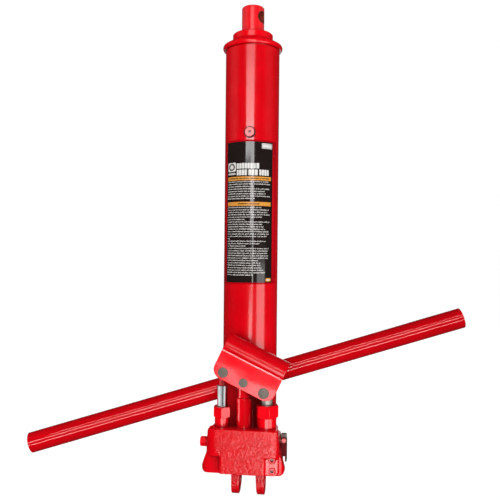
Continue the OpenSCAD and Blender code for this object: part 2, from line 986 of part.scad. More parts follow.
module piston_head() {
  color(steel)
    difference() {
      bar_z(piston_r, piston_z);
      bar_z(piston_stub_r + seat, [piston_z[0] - eps, piston_z[1] + eps]);
      ring(piston_r + 1, groove_r, seal_z);
      ring(piston_r + 1, groove_r, guide_z);
    }
}

module piston_nut() {
  color(steel)
    difference() {
      hex_bar(nut_af, [ram_foot + 0.5, piston_z[0]], 0);
      bar_z(piston_stub_r + seat, [ram_foot, piston_z[0] + eps]);
    }
}

module piston_seal() {
  color(black) ring(cylinder_bore / 2 - 0.03, groove_r + running, [seal_z[0] + 0.05, seal_z[1] - 0.05]);
}

module piston_guide_ring() {
  color(brass) ring(cylinder_bore / 2 - 0.03, groove_r + running, [guide_z[0] + 0.05, guide_z[1] - 0.05]);
}

// ---- Handle ----

module handle_lower() {
  color(paint)
    at_handle()
      difference() {
        bar_x(handle_r, [-handle_lower_len, 0]);
        bar_x(handle_bore_r, [-handle_lower_len - eps, eps]);
      }
}

module handle_upper() {
  color(paint)
    at_handle()
      difference() {
        union() {
          bar_x(handle_r, [0.1, handle_upper_len]);
          bar_x(handle_spigot_r, [-handle_spigot, 1]);
        }
        bar_x(handle_spigot_bore_r, [-handle_spigot - eps, 4]);
        bar_x(handle_bore_r, [4, handle_upper_len + eps]);
      }
}

base_block();
reservoir_tube();
tube_base_gasket();
tube_top_gasket();
inner_cylinder();
cylinder_gasket();
cap_nut();
rod_seal();
wiper_seal();
filler_plug();
filler_seal();
label();
fulcrum_post();
left_pump_cylinder();
left_pump_seal();
right_pump_cylinder();
right_pump_seal();
valve_plugs();
side_plug();
side_plug_seal();
suction_filter();
release_gland();
release_o_ring();
ram();
piston_head();
piston_nut();
piston_seal();
piston_guide_ring();
rocker_bracket();
fulcrum_pin();
left_plunger_pin();
right_plunger_pin();
pin_circlips();
left_plunger();
right_plunger();
release_stem();
release_link_pin();
release_link();
release_ball();
left_suction_ball();
right_suction_ball();
delivery_ball();
relief_ball();
delivery_spring();
relief_spring();
handle_lower();
handle_upper();
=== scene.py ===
"""Looks of the long-ram hydraulic jack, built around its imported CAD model."""

import math
import random

import bmesh
import bpy
from mathutils import Matrix, Vector, noise

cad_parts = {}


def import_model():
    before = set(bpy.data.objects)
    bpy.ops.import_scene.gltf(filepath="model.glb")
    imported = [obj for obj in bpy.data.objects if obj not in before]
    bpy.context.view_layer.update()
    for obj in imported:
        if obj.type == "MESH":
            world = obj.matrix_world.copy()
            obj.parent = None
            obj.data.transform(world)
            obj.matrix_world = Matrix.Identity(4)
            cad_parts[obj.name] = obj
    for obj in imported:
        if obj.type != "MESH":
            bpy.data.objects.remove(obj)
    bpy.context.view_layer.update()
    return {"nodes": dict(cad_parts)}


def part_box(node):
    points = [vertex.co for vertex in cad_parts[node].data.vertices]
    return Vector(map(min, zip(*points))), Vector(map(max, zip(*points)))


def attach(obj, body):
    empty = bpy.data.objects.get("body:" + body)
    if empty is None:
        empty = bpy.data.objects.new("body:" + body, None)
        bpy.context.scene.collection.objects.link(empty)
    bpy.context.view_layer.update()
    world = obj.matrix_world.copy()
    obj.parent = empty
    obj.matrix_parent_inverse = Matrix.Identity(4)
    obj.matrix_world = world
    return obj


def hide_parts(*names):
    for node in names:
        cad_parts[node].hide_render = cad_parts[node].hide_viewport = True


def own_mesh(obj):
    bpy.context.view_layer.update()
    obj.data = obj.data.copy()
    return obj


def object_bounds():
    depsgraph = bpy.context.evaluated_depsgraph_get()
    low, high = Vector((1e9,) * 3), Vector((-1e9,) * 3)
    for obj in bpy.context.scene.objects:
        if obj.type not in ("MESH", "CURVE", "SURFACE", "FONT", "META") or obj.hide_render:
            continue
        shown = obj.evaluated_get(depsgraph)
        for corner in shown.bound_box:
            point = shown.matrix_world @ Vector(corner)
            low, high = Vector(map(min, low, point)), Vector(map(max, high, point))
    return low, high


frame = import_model()
NODES = frame["nodes"]
MM = 0.001


# ---- Camera ----

CAMERA_TURN = math.radians(7)
CAMERA_DISTANCE = 0.8
CAMERA_HEIGHT = 0.299
CAMERA_ROLL = math.radians(0.545)
CAMERA_LENS = 44.64
CAMERA_SHIFT = -0.0019


def add_camera():
    data = bpy.data.cameras.new("camera")
    data.lens = CAMERA_LENS
    data.sensor_width = 36
    data.shift_x = CAMERA_SHIFT
    data.clip_start = 0.05
    camera = bpy.data.objects.new("camera", data)
    bpy.context.scene.collection.objects.link(camera)
    place = Matrix.Translation((
        CAMERA_DISTANCE * math.sin(CAMERA_TURN),
        -CAMERA_DISTANCE * math.cos(CAMERA_TURN),
        CAMERA_HEIGHT,
    ))
    turn = Matrix.Rotation(CAMERA_TURN, 4, "Z") @ Matrix.Rotation(math.radians(90), 4, "X")
    camera.matrix_world = place @ turn @ Matrix.Rotation(CAMERA_ROLL, 4, "Z")
    bpy.context.scene.camera = camera


add_camera()


# ---- Node helpers ----

class Tree:
    """A small helper around one material's nodes."""

    def __init__(self, name):
        self.material = bpy.data.materials.new(name)
        self.material.use_nodes = True
        self.nodes = self.material.node_tree.nodes
        self.links = self.material.node_tree.links
        self.shader = self.nodes["Principled BSDF"]
        self.place = self.nodes.new("ShaderNodeTexCoord").outputs["Object"]

    def new(self, kind, **inputs):
        node = self.nodes.new(kind)
        for key, value in inputs.items():
            self.set(node.inputs[key.replace("_", " ")], value)
        return node

    def set(self, socket, value):
        if isinstance(value, bpy.types.NodeSocket):
            self.links.new(value, socket)
        else:
            socket.default_value = value

    def noise(self, scale, detail=3.0, rough=0.55, stretch=None):
        source = self.place
        if stretch:
            mapping = self.new("ShaderNodeMapping", Vector=source)
            mapping.inputs["Scale"].default_value = stretch
            source = mapping.outputs[0]
        node = self.new("ShaderNodeTexNoise", Vector=source, Scale=scale, Detail=detail, Roughness=rough)
        return node.outputs["Fac"]

    def cells(self, scale):
        return self.new("ShaderNodeTexVoronoi", Vector=self.place, Scale=scale).outputs["Distance"]

    def between(self, value, low, high, out_low=0.0, out_high=1.0):
        node = self.new("ShaderNodeMapRange", Value=value)
        node.inputs["From Min"].default_value = low
        node.inputs["From Max"].default_value = high
        node.inputs["To Min"].default_value = out_low
        node.inputs["To Max"].default_value = out_high
        return node.outputs[0]

    def math(self, operation, a, b=0.5):
        node = self.nodes.new("ShaderNodeMath")
        node.operation = operation
        self.set(node.inputs[0], a)
        self.set(node.inputs[1], b)
        return node.outputs[0]

    def mix(self, factor, a, b):
        node = self.nodes.new("ShaderNodeMix")
        node.data_type = "RGBA"
        self.set(node.inputs[0], factor)
        self.set(node.inputs[6], a)
        self.set(node.inputs[7], b)
        return node.outputs[2]

    def axes(self):
        """The object's own X, Y and Z, in metres."""
        node = self.nodes.new("ShaderNodeSeparateXYZ")
        self.links.new(self.place, node.inputs[0])
        return node.outputs

    def inside(self, low, high, blur=0.0004):
        """1 inside a box given by two corners, 0 outside, blurred at its faces."""
        mask = None
        for out, a, b in zip(self.axes(), low, high):
            for edge, sign in ((a, 1), (b, -1)):
                side = self.between(out, edge - sign * blur, edge + sign * blur)
                mask = self.math("MULTIPLY", mask, side) if mask else side
        return mask

    def rounded(self, radius):
        """The surface normal with its edges rounded off by radius, in metres."""
        node = self.nodes.new("ShaderNodeBevel")
        node.samples = 4
        node.inputs["Radius"].default_value = radius
        return node.outputs[0]

    def corners(self, reach, low=0.3, high=0.8):
        """1 in narrow gaps and corners and 0 on open surfaces."""
        node = self.nodes.new("ShaderNodeAmbientOcclusion")
        node.samples = 8
        node.inputs["Distance"].default_value = reach
        return self.between(node.outputs["AO"], low, high, 1.0, 0.0)

    def edges(self, radius, low=0.75, high=0.98):
        """1 on sharp edges and 0 on open surfaces."""
        normal = self.nodes.new("ShaderNodeNewGeometry").outputs["Normal"]
        node = self.nodes.new("ShaderNodeVectorMath")
        node.operation = "DOT_PRODUCT"
        self.links.new(normal, node.inputs[0])
        self.links.new(self.rounded(radius), node.inputs[1])
        return self.between(node.outputs["Value"], low, high, 1.0, 0.0)

    def bump(self, height, distance, strength=1.0, normal=None):
        node = self.new("ShaderNodeBump", Height=height, Distance=distance, Strength=strength)
        if normal:
            self.links.new(normal, node.inputs["Normal"])
        return node.outputs[0]


def rgb(red, green, blue):
    """A display colour, 0 to 255 a channel, as a shader colour."""
    def linear(c):
        c = c / 255
        return c / 12.92 if c <= 0.04045 else ((c + 0.055) / 1.055) ** 2.4
    return (linear(red), linear(green), linear(blue), 1.0)


RED = rgb(255, 0, 22)
RED_DEEP = rgb(240, 0, 17)
# Dark red used as painted shade in gaps and corners.
PAINTED_SHADE = rgb(92, 0, 8)


# ---- Materials ----

def enamel(name, main=RED, deep=RED_DEEP, rough=0.14, spread=0.09, peel=0.00003, wear=0.35, coat=0.25,
           edge=0.0005):
    """Glossy red enamel with orange peel, slight unevenness, thin paint on its edges, and painted shade in
    its gaps and corners.
    """
    t = Tree(name)
    cloud = t.noise(34, 4)
    fine = t.noise(420, 3)
    worn = t.math("MULTIPLY", t.edges(0.0006), t.between(t.noise(160, 5), 0.52, 0.66))
    colour = t.mix(t.between(cloud, 0.3, 0.7), main, deep)
    colour = t.mix(t.math("MULTIPLY", worn, wear), colour, rgb(150, 60, 58))
    # Painted shade: the red turns darker in gaps and corners, which ambient occlusion finds.
    colour = t.mix(t.math("MULTIPLY", t.corners(0.035), 0.85), colour, PAINTED_SHADE)
    t.set(t.shader.inputs["Base Color"], colour)
    t.set(t.shader.inputs["Roughness"], t.between(t.noise(60, 4), 0.3, 0.7, rough, rough + spread))
    soft = t.bump(fine, peel, 1.0, t.rounded(edge) if edge else None)
    t.set(t.shader.inputs["Normal"], soft)
    t.shader.inputs["Coat Weight"].default_value = coat
    t.shader.inputs["Coat Roughness"].default_value = 0.06
    return t.material


SMOOTH_LOBE = ((-0.06, -0.08, 0.025), (-0.0275, 0.0, 0.058))
SMOOTH_PAD = ((0.024, -0.0695, 0.025), (0.06, 0.0, 0.058))


def cast_enamel(name):
    """The same enamel over a coarse sand-cast skin, smooth on the pad, the lobes and the top, with painted
    shade in its gaps and corners.
    """
    t = Tree(name)
    x, _, z = t.axes()
    left = t.between(x, -0.0345, -0.0315, 0.12, 1.0)
    right = t.between(x, 0.041, 0.043, 1.0, 0.12)
    smooth = t.between(z, 0.0845, 0.0855)
    for low, high in (SMOOTH_LOBE, SMOOTH_PAD):
        smooth = t.math("MAXIMUM", smooth, t.inside(low, high))
    skin = t.math("MULTIPLY", t.math("MULTIPLY", left, right), t.math("SUBTRACT", 1.0, smooth))
    grain = t.noise(600, 3, 0.5)
    pits = t.between(t.cells(760), 0.0, 0.34)
    cloud = t.noise(46, 5)
    patch = t.between(t.noise(150, 3), 0.4, 0.6)
    low = t.math("MULTIPLY", t.math("MULTIPLY", t.between(grain, 0.38, 0.5, 1.0, 0.0), 0.4), skin)
    colour = t.mix(t.between(cloud, 0.3, 0.7), RED, RED_DEEP)
    colour = t.mix(low, colour, rgb(186, 0, 12))
    worn = t.math("MULTIPLY", t.edges(0.0008), t.between(t.noise(190, 5), 0.5, 0.64))
    colour = t.mix(t.math("MULTIPLY", worn, 0.12), colour, rgb(190, 50, 50))
    # Painted shade: the red turns darker in gaps and corners, which ambient occlusion finds.
    colour = t.mix(t.math("MULTIPLY", t.corners(0.03), 0.85), colour, PAINTED_SHADE)
    t.set(t.shader.inputs["Base Color"], colour)
    patchy = t.math("MULTIPLY", skin, t.between(patch, 0, 1, 0.03, 0.3))
    t.set(t.shader.inputs["Roughness"], t.math("ADD", patchy, t.between(grain, 0.3, 0.7, 0.09, 0.15)))
    height = t.math("ADD", t.math("MULTIPLY", grain, 0.8), t.math("MULTIPLY", pits, 0.35))
    fine = t.math("MULTIPLY", t.math("ADD", skin, 0.04), height)
    t.set(t.shader.inputs["Normal"], t.bump(fine, 0.0004, 0.7))
    t.shader.inputs["Coat Weight"].default_value = 0.2
    t.shader.inputs["Coat Roughness"].default_value = 0.12
    return t.material


def metal(name, colour, dark, rough=0.3, metallic=1.0):
    """Machined or plated metal with fine tool marks, stains and dulled edges."""
    t = Tree(name)
    lines = t.noise(220, 4, 0.6)
    stain = t.noise(90, 5)
    body = t.mix(t.between(stain, 0.35, 0.72), colour, dark)
    body = t.mix(t.math("MULTIPLY", t.edges(0.0004), 0.5), body, dark)
    t.set(t.shader.inputs["Base Color"], body)
    t.shader.inputs["Metallic"].default_value = metallic
    t.set(t.shader.inputs["Roughness"], t.between(lines, 0.3, 0.7, rough, rough + 0.14))
    t.set(t.shader.inputs["Normal"], t.bump(lines, 0.00002, 1.0, t.rounded(0.0003)))
    return t.material


def rubber(name):
    t = Tree(name)
    dust = t.noise(300, 5)
    t.set(t.shader.inputs["Base Color"], t.mix(t.between(dust, 0.4, 0.8), rgb(20, 16, 16), rgb(40, 34, 33)))
    t.set(t.shader.inputs["Roughness"], t.between(dust, 0.3, 0.7, 0.62, 0.78))
    t.set(t.shader.inputs["Normal"], t.bump(t.noise(1400, 3), 0.00003, 0.8))
    return t.material


def film(name, colour, other, rough=0.2, metallic=0.0):
    """Printed vinyl film: smooth and glossy, with faint waves and tiny specks."""
    t = Tree(name)
    speck = t.noise(900, 4)
    t.set(t.shader.inputs["Base Color"], t.mix(t.between(speck, 0.42, 0.7), colour, other))
    t.set(t.shader.inputs["Roughness"], t.between(t.noise(70, 3), 0.3, 0.7, rough, rough + 0.08))
    t.set(t.shader.inputs["Normal"], t.bump(t.noise(55, 2), 0.0001, 0.25))
    t.shader.inputs["Metallic"].default_value = metallic
    return t.material


def painted_from(name, split, bare, dark, rough, grind=0.0, hole=None):
    """Bright steel with red enamel above the height split, and a thin brown coat in a cross hole."""
    t = Tree(name)
    paint = t.between(t.axes()["Z"], split - 0.00005, split + 0.00005)
    red = t.mix(t.between(t.noise(34, 4), 0.3, 0.7), RED, RED_DEEP)
    if hole:
        eye, axis, eye_r = hole
        away = t.nodes.new("ShaderNodeVectorMath")
        away.operation = "SUBTRACT"
        t.links.new(t.place, away.inputs[0])
        away.inputs[1].default_value = eye
        cross = t.nodes.new("ShaderNodeVectorMath")
        cross.operation = "CROSS_PRODUCT"
        t.links.new(away.outputs[0], cross.inputs[0])
        cross.inputs[1].default_value = axis
        span = t.nodes.new("ShaderNodeVectorMath")
        span.operation = "LENGTH"
        t.links.new(cross.outputs[0], span.inputs[0])
        coat = t.mix(t.between(t.noise(160, 5), 0.35, 0.65), rgb(150, 62, 44), rgb(108, 44, 34))
        red = t.mix(t.math("GREATER_THAN", span.outputs["Value"], eye_r), coat, red)
    steel = t.mix(t.between(t.noise(120, 5), 0.35, 0.7), bare, dark)
    t.set(t.shader.inputs["Base Color"], t.mix(paint, steel, red))
    t.set(t.shader.inputs["Metallic"], t.math("SUBTRACT", 1.0, paint))
    lines = t.between(t.noise(80, 4, stretch=(1, 1, 18)), 0.3, 0.7, rough, rough + 0.1)
    ground = t.math("MULTIPLY", t.math("SUBTRACT", 1.0, paint), grind)
    t.set(t.shader.inputs["Roughness"], t.math("ADD", lines, ground))
    t.set(t.shader.inputs["Normal"], t.bump(t.noise(420, 3), 0.00002, 1.0, t.rounded(0.0006)))
    t.shader.inputs["Coat Weight"].default_value = 0.25
    t.shader.inputs["Coat Roughness"].default_value = 0.06
    return t.material


def give(material, *names):
    for name in names:
        mesh = NODES[name].data
        mesh.materials.clear()
        mesh.materials.append(material)


paint = enamel("red_enamel")
cast_paint = cast_enamel("cast_enamel")
# The release link's enamel is darker and rougher than the rest. Its darker red is partly the link's own paint
# and partly painted shade.
link_paint = enamel("link_enamel", rgb(186, 4, 26), rgb(104, 0, 10),
                    rough=0.5, peel=0.00025, wear=0.6, coat=0.02)
handle_paint = enamel("handle_enamel", rgb(232, 0, 18), rgb(214, 0, 14),
                      rough=0.05, spread=0.02, peel=0.000001, edge=None)
bare = metal("bare_steel", rgb(156, 152, 146), rgb(112, 106, 98), rough=0.32)
pin_grey = metal("pin_steel", rgb(124, 115, 106), rgb(98, 90, 83), rough=0.55, metallic=0.25)
bearing = metal("bearing_steel", rgb(208, 210, 212), rgb(176, 178, 180), rough=0.1)
springy = metal("spring_steel", rgb(86, 84, 84), rgb(52, 50, 50), rough=0.35)
copper = metal("copper", rgb(198, 122, 84), rgb(140, 84, 58), rough=0.3)
brass = metal("brass", rgb(206, 170, 98), rgb(150, 120, 68), rough=0.3)
black_rubber = rubber("black_rubber")
label_black = film("label_black", rgb(30, 22, 20), rgb(40, 32, 29), rough=0.06)
label_red = film("label_red", rgb(226, 0, 22), rgb(206, 0, 18), rough=0.2)
print_pale = film("print_pale", rgb(238, 236, 232), rgb(206, 202, 198), rough=0.3)
print_grey = film("print_grey", rgb(214, 210, 206), rgb(176, 172, 168), rough=0.2)
print_orange = film("print_orange", rgb(236, 160, 58), rgb(214, 138, 46), rough=0.3)
print_dark = film("print_dark", rgb(64, 38, 22), rgb(40, 28, 22), rough=0.3)

give(paint, "reservoir_tube", "cap_nut", "fulcrum_post", "left_pump_cylinder", "right_pump_cylinder",
     "valve_plugs", "side_plug", "side_plug_seal", "release_gland", "filler_plug", "release_link_pin")
give(link_paint, "release_link")
give(handle_paint, "handle_lower", "handle_upper")
give(bare, "right_plunger", "inner_cylinder", "piston_head", "piston_nut")
give(pin_grey, "fulcrum_pin", "left_plunger_pin", "right_plunger_pin", "release_stem")
give(bearing, "release_ball", "left_suction_ball", "right_suction_ball", "delivery_ball", "relief_ball")
give(springy, "pin_circlips", "delivery_spring", "relief_spring")
give(copper, "tube_base_gasket", "tube_top_gasket", "cylinder_gasket")
give(brass, "suction_filter", "piston_guide_ring")
give(black_rubber, "filler_seal", "rod_seal", "wiper_seal", "left_pump_seal", "right_pump_seal",
     "release_o_ring", "piston_seal")
give(label_black, "label")

CAP_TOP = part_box("cap_nut")[1].z
RAM_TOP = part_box("ram")[1].z
RAM_EYE_R = 7.75 * MM
RAM_TURN = math.radians(25)
RAM_EYE = ((0, 0, RAM_TOP - 14 * MM), (math.cos(RAM_TURN), -math.sin(RAM_TURN), 0), RAM_EYE_R + 0.15 * MM)
PLUNGER_PAINT = 134.6 * MM
ram_finish = painted_from("ram_finish", CAP_TOP - 1 * MM, rgb(148, 142, 136), rgb(104, 98, 93),
                          rough=0.15, grind=0.16, hole=RAM_EYE)
chrome = painted_from("chrome", PLUNGER_PAINT, rgb(226, 230, 232), rgb(204, 208, 210), rough=0.07)
give(ram_finish, "ram")
give(chrome, "left_plunger")


# ---- Piece helpers ----

def piece(name, mesh, body, slot, *materials, replaces=()):
    obj = bpy.data.objects.new(name, mesh)
    bpy.context.scene.collection.objects.link(obj)
    for material in materials:
        mesh.materials.append(material)
    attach(obj, body)
    if replaces:
        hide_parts(*replaces)
    return obj


def mesh_of(bm, name, smooth_angle=32):
    bm.normal_update()
    for edge in bm.edges:
        edge.smooth = not edge.is_manifold or edge.calc_face_angle(0) < math.radians(smooth_angle)
    for face in bm.faces:
        face.smooth = True
    mesh = bpy.data.meshes.new(name)
    bm.to_mesh(mesh)
    bm.free()
    return mesh


def baked(obj):
    """The object's mesh with its modifiers applied."""
    graph = bpy.context.evaluated_depsgraph_get()
    mesh = bpy.data.meshes.new_from_object(obj.evaluated_get(graph))
    obj.modifiers.clear()
    old = obj.data
    obj.data = mesh
    bpy.data.meshes.remove(old)
    return mesh


# ---- The base casting ----

CAST_TOP = 84 * MM
SMOOTH_TOP = 58 * MM
SEAT_R, SEAT_FLOOR = 36 * MM, 36 * MM
PAD_FRONT, PAD_LEFT, PAD_TOP = -66.5 * MM, 26 * MM, 57 * MM
PIN_HOLE = 9 * MM
LEFT_SIDE, RIGHT_SIDE, CORNER_X = -33 * MM, 42 * MM, 27.5 * MM
EAR_TOP = -4 * MM
FACE_REACH = 0.6 * MM
CAST_VOXEL = 0.7 * MM
COARSE_SCALE, COARSE_DEPTH_MM = 480, 0.17
SHARP_SCALE, SHARP_DEPTH_MM = 900, 0.1


def cast_depth(point):
    """How rough the skin is here: coarse on cast faces, nearly smooth on machined and corner faces."""
    x, y, z = point
    if z > CAST_TOP or abs(y - PAD_FRONT) < FACE_REACH and x > PAD_LEFT and z < PAD_TOP:
        return 0.0
    if (x * x + y * y) ** 0.5 < SEAT_R and z > SEAT_FLOOR:
        return 0.0
    if abs(y) < PIN_HOLE and abs(z) < PIN_HOLE:
        return 0.05
    if x < LEFT_SIDE or x > RIGHT_SIDE or abs(x) > CORNER_X and z < SMOOTH_TOP:
        return 0.08
    return 1.0 if z > EAR_TOP else 0.35


def base_casting():
    mesh = NODES["base_block"].data.copy()
    bm = bmesh.new()
    bm.from_mesh(mesh)
    bmesh.ops.remove_doubles(bm, verts=bm.verts, dist=1e-6)
    bm.to_mesh(mesh)
    bm.free()
    mesh.materials.clear()
    obj = piece("base_casting", mesh, "jack_body", "red_cast_paint", cast_paint, replaces=["base_block"])
    remesh = obj.modifiers.new("remesh", "REMESH")
    remesh.mode = "VOXEL"
    remesh.voxel_size = CAST_VOXEL
    soften = obj.modifiers.new("soften", "SMOOTH")
    soften.factor = 0.5
    soften.iterations = 4
    mesh = baked(obj)
    normals = [v.normal.copy() for v in mesh.vertices]
    for vertex, normal in zip(mesh.vertices, normals):
        depth = cast_depth(vertex.co)
        if depth:
            coarse = noise.fractal(vertex.co * COARSE_SCALE, 1.0, 2.1, 2)
            sharp = noise.noise(vertex.co * SHARP_SCALE)
            vertex.co += normal * depth * (COARSE_DEPTH_MM * coarse + SHARP_DEPTH_MM * sharp) * MM
    for polygon in mesh.polygons:
        polygon.use_smooth = True
    return obj


casting = base_casting()


# ---- The label's print ----

TUBE_R = 34.5 * MM
PRINT_R = TUBE_R + 0.34 * MM
LABEL_LOW, LABEL_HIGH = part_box("label")[0].z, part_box("label")[1].z
LABEL_CENTRE = math.radians(0.7)
LABEL_WIDTH = 2 * math.radians(54.5) * TUBE_R


def on_tube(x, z, r):
    """A point of the label: x across it from its centre line, along the surface."""
    a = LABEL_CENTRE + x / TUBE_R
    return Vector((r * math.sin(a), -r * math.cos(a), z))


def add_bar(bm, x0, x1, z0, z1, r=PRINT_R, slot=0, cut=0.0):
    """A thin printed bar, bent round the tube, with corners cut off by cut."""
    steps = max(1, math.ceil((x1 - x0) / (1.5 * MM)))
    rows = []
    for i in range(steps + 1):
        x = x0 + (x1 - x0) * i / steps
        edge = cut if i in (0, steps) else 0.0
        rows.append((bm.verts.new(on_tube(x, z0 + edge, r)), bm.verts.new(on_tube(x, z1 - edge, r))))
    for (a, b), (c, d) in zip(rows, rows[1:]):
        face = bm.faces.new((a, c, d, b))
        face.material_index = slot


def add_row(bm, rng, z, left, right):
    """A row of fine print: groups of small upright ticks that stand for words."""
    x = left
    while x < right - 1.2 * MM:
        for _ in range(rng.randint(2, 9)):
            width = rng.uniform(0.6, 1.0) * MM
            if x + width > right:
                break
            tall = rng.choice((1.15, 1.15, 1.5)) * MM
            add_bar(bm, x, x + width, z, z + tall, slot=1)
            x += width + 0.25 * MM
        x += rng.uniform(0.6, 0.9) * MM


def add_blocks(bm, z, height, left, widths, gap, slot=0):
    """A row of bold blocks. A negative width is a space."""
    x = left
    for width in widths:
        if width > 0:
            add_bar(bm, x, x + width * MM, z, z + height, slot=slot, cut=0.3 * MM)
            x += gap
        x += abs(width) * MM


def add_ring(bm, centre, middle, rx, rz, hollow, slot):
    """A flat elliptical ring on the label."""
    sides = 28
    for i in range(sides):
        corners = []
        for a, k in ((i, 1.0), (i + 1, 1.0), (i + 1, hollow), (i, hollow)):
            c, s = math.cos(2 * math.pi * a / sides), math.sin(2 * math.pi * a / sides)
            corners.append(bm.verts.new(on_tube(centre + rx * c * k, middle + rz * s * k, PRINT_OVER)))
        bm.faces.new(corners[::-1]).material_index = slot


def add_band(bm, rng, high, low, left, right, dash_left, dash_right):
    """An orange band with a row of dark dashes along its middle."""
    add_bar(bm, left, right, low, high, slot=ORANGE)
    middle = (low + high) / 2
    x = dash_left
    while x < dash_right - 1 * MM:
        length = min(rng.uniform(0.9, 1.7) * MM, dash_right - x)
        add_bar(bm, x, x + length, middle - 0.8 * MM, middle + 0.8 * MM, r=PRINT_OVER, slot=DARK)
        x += length + rng.choice((0.45, 0.45, 0.45, 1.2)) * MM


PALE, GREY, ORANGE, DARK = 0, 1, 2, 3
PRINT_OVER = PRINT_R + 0.03 * MM
ROW_PITCH = 2.99 * MM


def label_print():
    bm = bmesh.new()
    rng = random.Random(8)
    top = LABEL_HIGH
    left, right = -30.5 * MM, 29.5 * MM

    # pale tag at the upper right, with a darker strip in it
    add_bar(bm, 16.2 * MM, 31.7 * MM, top - 8.5 * MM, top - 1.7 * MM, slot=GREY, cut=0.6 * MM)
    add_bar(bm, 17.6 * MM, 30.4 * MM, top - 6.6 * MM, top - 3.6 * MM, r=PRINT_OVER, slot=PALE, cut=0.3 * MM)

    # badge with a dark ring, and the bar under it
    add_bar(bm, left, -16.8 * MM, top - 36.8 * MM, top - 25.7 * MM, slot=PALE, cut=1.2 * MM)
    add_ring(bm, -23.6 * MM, top - 31.2 * MM, 5.2 * MM, 4.4 * MM, 0.62, DARK)
    add_bar(bm, left, -17.4 * MM, top - 40.8 * MM, top - 38.4 * MM, slot=GREY, cut=0.3 * MM)

    # two rows of bold blocks
    title = -15.6 * MM
    add_blocks(bm, top - 33.6 * MM, 7.0 * MM, title, (3.0, 2.9, 3.2, 3.0, 2.9, 3.2, 2.0, 1.4, 3.0), 0.5 * MM)
    add_blocks(bm, top - 41.9 * MM, 7.3 * MM, title,
               (2.6, 3.1, 3.2, 3.1, -1.4, 3.4, 3.2, 3.9, -1.4, 2.6, 3.2, 2.9, 3.0), 0.5 * MM)

    # the first band and its text, then the second
    add_band(bm, rng, top - 43.3 * MM, top - 48.0 * MM, -30.8 * MM, 30 * MM, -28 * MM, 27 * MM)
    for i, share in enumerate((0.97, 1.0, 0.62, 0.97, 0.86, 0.88, 1.0, 0.66)):
        add_row(bm, rng, top - 50.3 * MM - i * ROW_PITCH, left, left + (right - left) * share)
    add_band(bm, rng, top - 74.6 * MM, top - 79.5 * MM, -30.8 * MM, 30 * MM, -13.5 * MM, 13.7 * MM)
    shares = (0.78, 0.97, 0.93, 0.99, 0.8, 0.45, 0.98, 0.82, 0.84, 0.88, 0.96, 0.97, 0.92, 0.08,
              0.9, 0.76, 0.46, 0.97, 0.95, 0.93, 0.96, 0.95, 0.72, 0.78, 0.8, 0.82, 0.84, 0.9, 0.62)
    for i, share in enumerate(shares):
        add_row(bm, rng, top - 82.2 * MM - i * ROW_PITCH, left, left + (right - left) * share)

    # small two-coloured tag at the lower right
    add_bar(bm, 23 * MM, 31.2 * MM, top - 173.3 * MM, top - 169 * MM, slot=ORANGE, cut=0.8 * MM)
    add_bar(bm, 24.4 * MM, 29.8 * MM, top - 172 * MM, top - 170.4 * MM, r=PRINT_OVER, slot=PALE)

    mesh = mesh_of(bm, "label_print")
    piece("label_print", mesh, "jack_body", "label", print_pale, print_grey, print_orange, print_dark)


def label_film():
    """The film's red margin, a little wider and taller than the black panel."""
    bm = bmesh.new()
    margin, r = 7.5 * MM, TUBE_R + 0.1 * MM
    half = LABEL_WIDTH / 2
    add_bar(bm, -half - margin, half + margin, LABEL_LOW - 1.8 * MM, LABEL_HIGH + 2.2 * MM, r=r, cut=0.8 * MM)
    mesh = mesh_of(bm, "label_film")
    obj = piece("label_film", mesh, "jack_body", "label", label_red)
    thick = obj.modifiers.new("thickness", "SOLIDIFY")
    thick.thickness = 0.08 * MM
    thick.offset = 1


label_print()
label_film()


# ---- The rocker ----

PUMP_Y = -51 * MM
PIVOT = Vector((0, PUMP_Y, 141 * MM))
ROCKER_TILT = math.radians(25.4)
ROCKER_LEN = 80 * MM
PLATE_LOW = -8.5 * MM
PLATE_TOP = 22.7 * MM
HALF_W = 13 * MM
SHEET = 2.5 * MM
SOCKET_T = 30.5 * MM
SOCKET_BORE_R = 11.15 * MM
SOCKET_OUT_R = 13.65 * MM
PLATE_CORNER = 12 * MM


def rocker_place():
    return Matrix.Translation(PIVOT) @ Matrix.Rotation(ROCKER_TILT, 4, "Y")


def arc(cx, cz, r, a, b, n):
    """Points of an arc from angle a to b, in degrees."""
    return [(cx + r * math.cos(math.radians(a + (b - a) * i / n)),
             cz + r * math.sin(math.radians(a + (b - a) * i / n))) for i in range(n + 1)]


def plate_outline():
    w, r = ROCKER_LEN / 2, PLATE_CORNER
    low = PLATE_LOW
    return ([(-w, PLATE_TOP)] + arc(r - w, low + r, r, 180, 270, 16)
            + arc(w - r, low + r, r, 270, 360, 16) + [(w, PLATE_TOP)])


FOLD_LEAN = math.radians(17)
FOLD_FLAT = 2.6 * MM
FOLD_R = 2.2 * MM


def fold_profile():
    """The fold above a plate as (inwards, up) points: a short leaning flat, then a round turn inwards."""
    start = (FOLD_FLAT * math.sin(FOLD_LEAN), FOLD_FLAT * math.cos(FOLD_LEAN))
    points = [(0.0, 0.0), start]
    for i in range(1, 9):
        a = FOLD_LEAN + (math.pi / 2 - FOLD_LEAN) * i / 8
        points.append((start[0] + FOLD_R * (math.cos(FOLD_LEAN) - math.cos(a)),
                       start[1] + FOLD_R * (math.sin(a) - math.sin(FOLD_LEAN))))
    return points


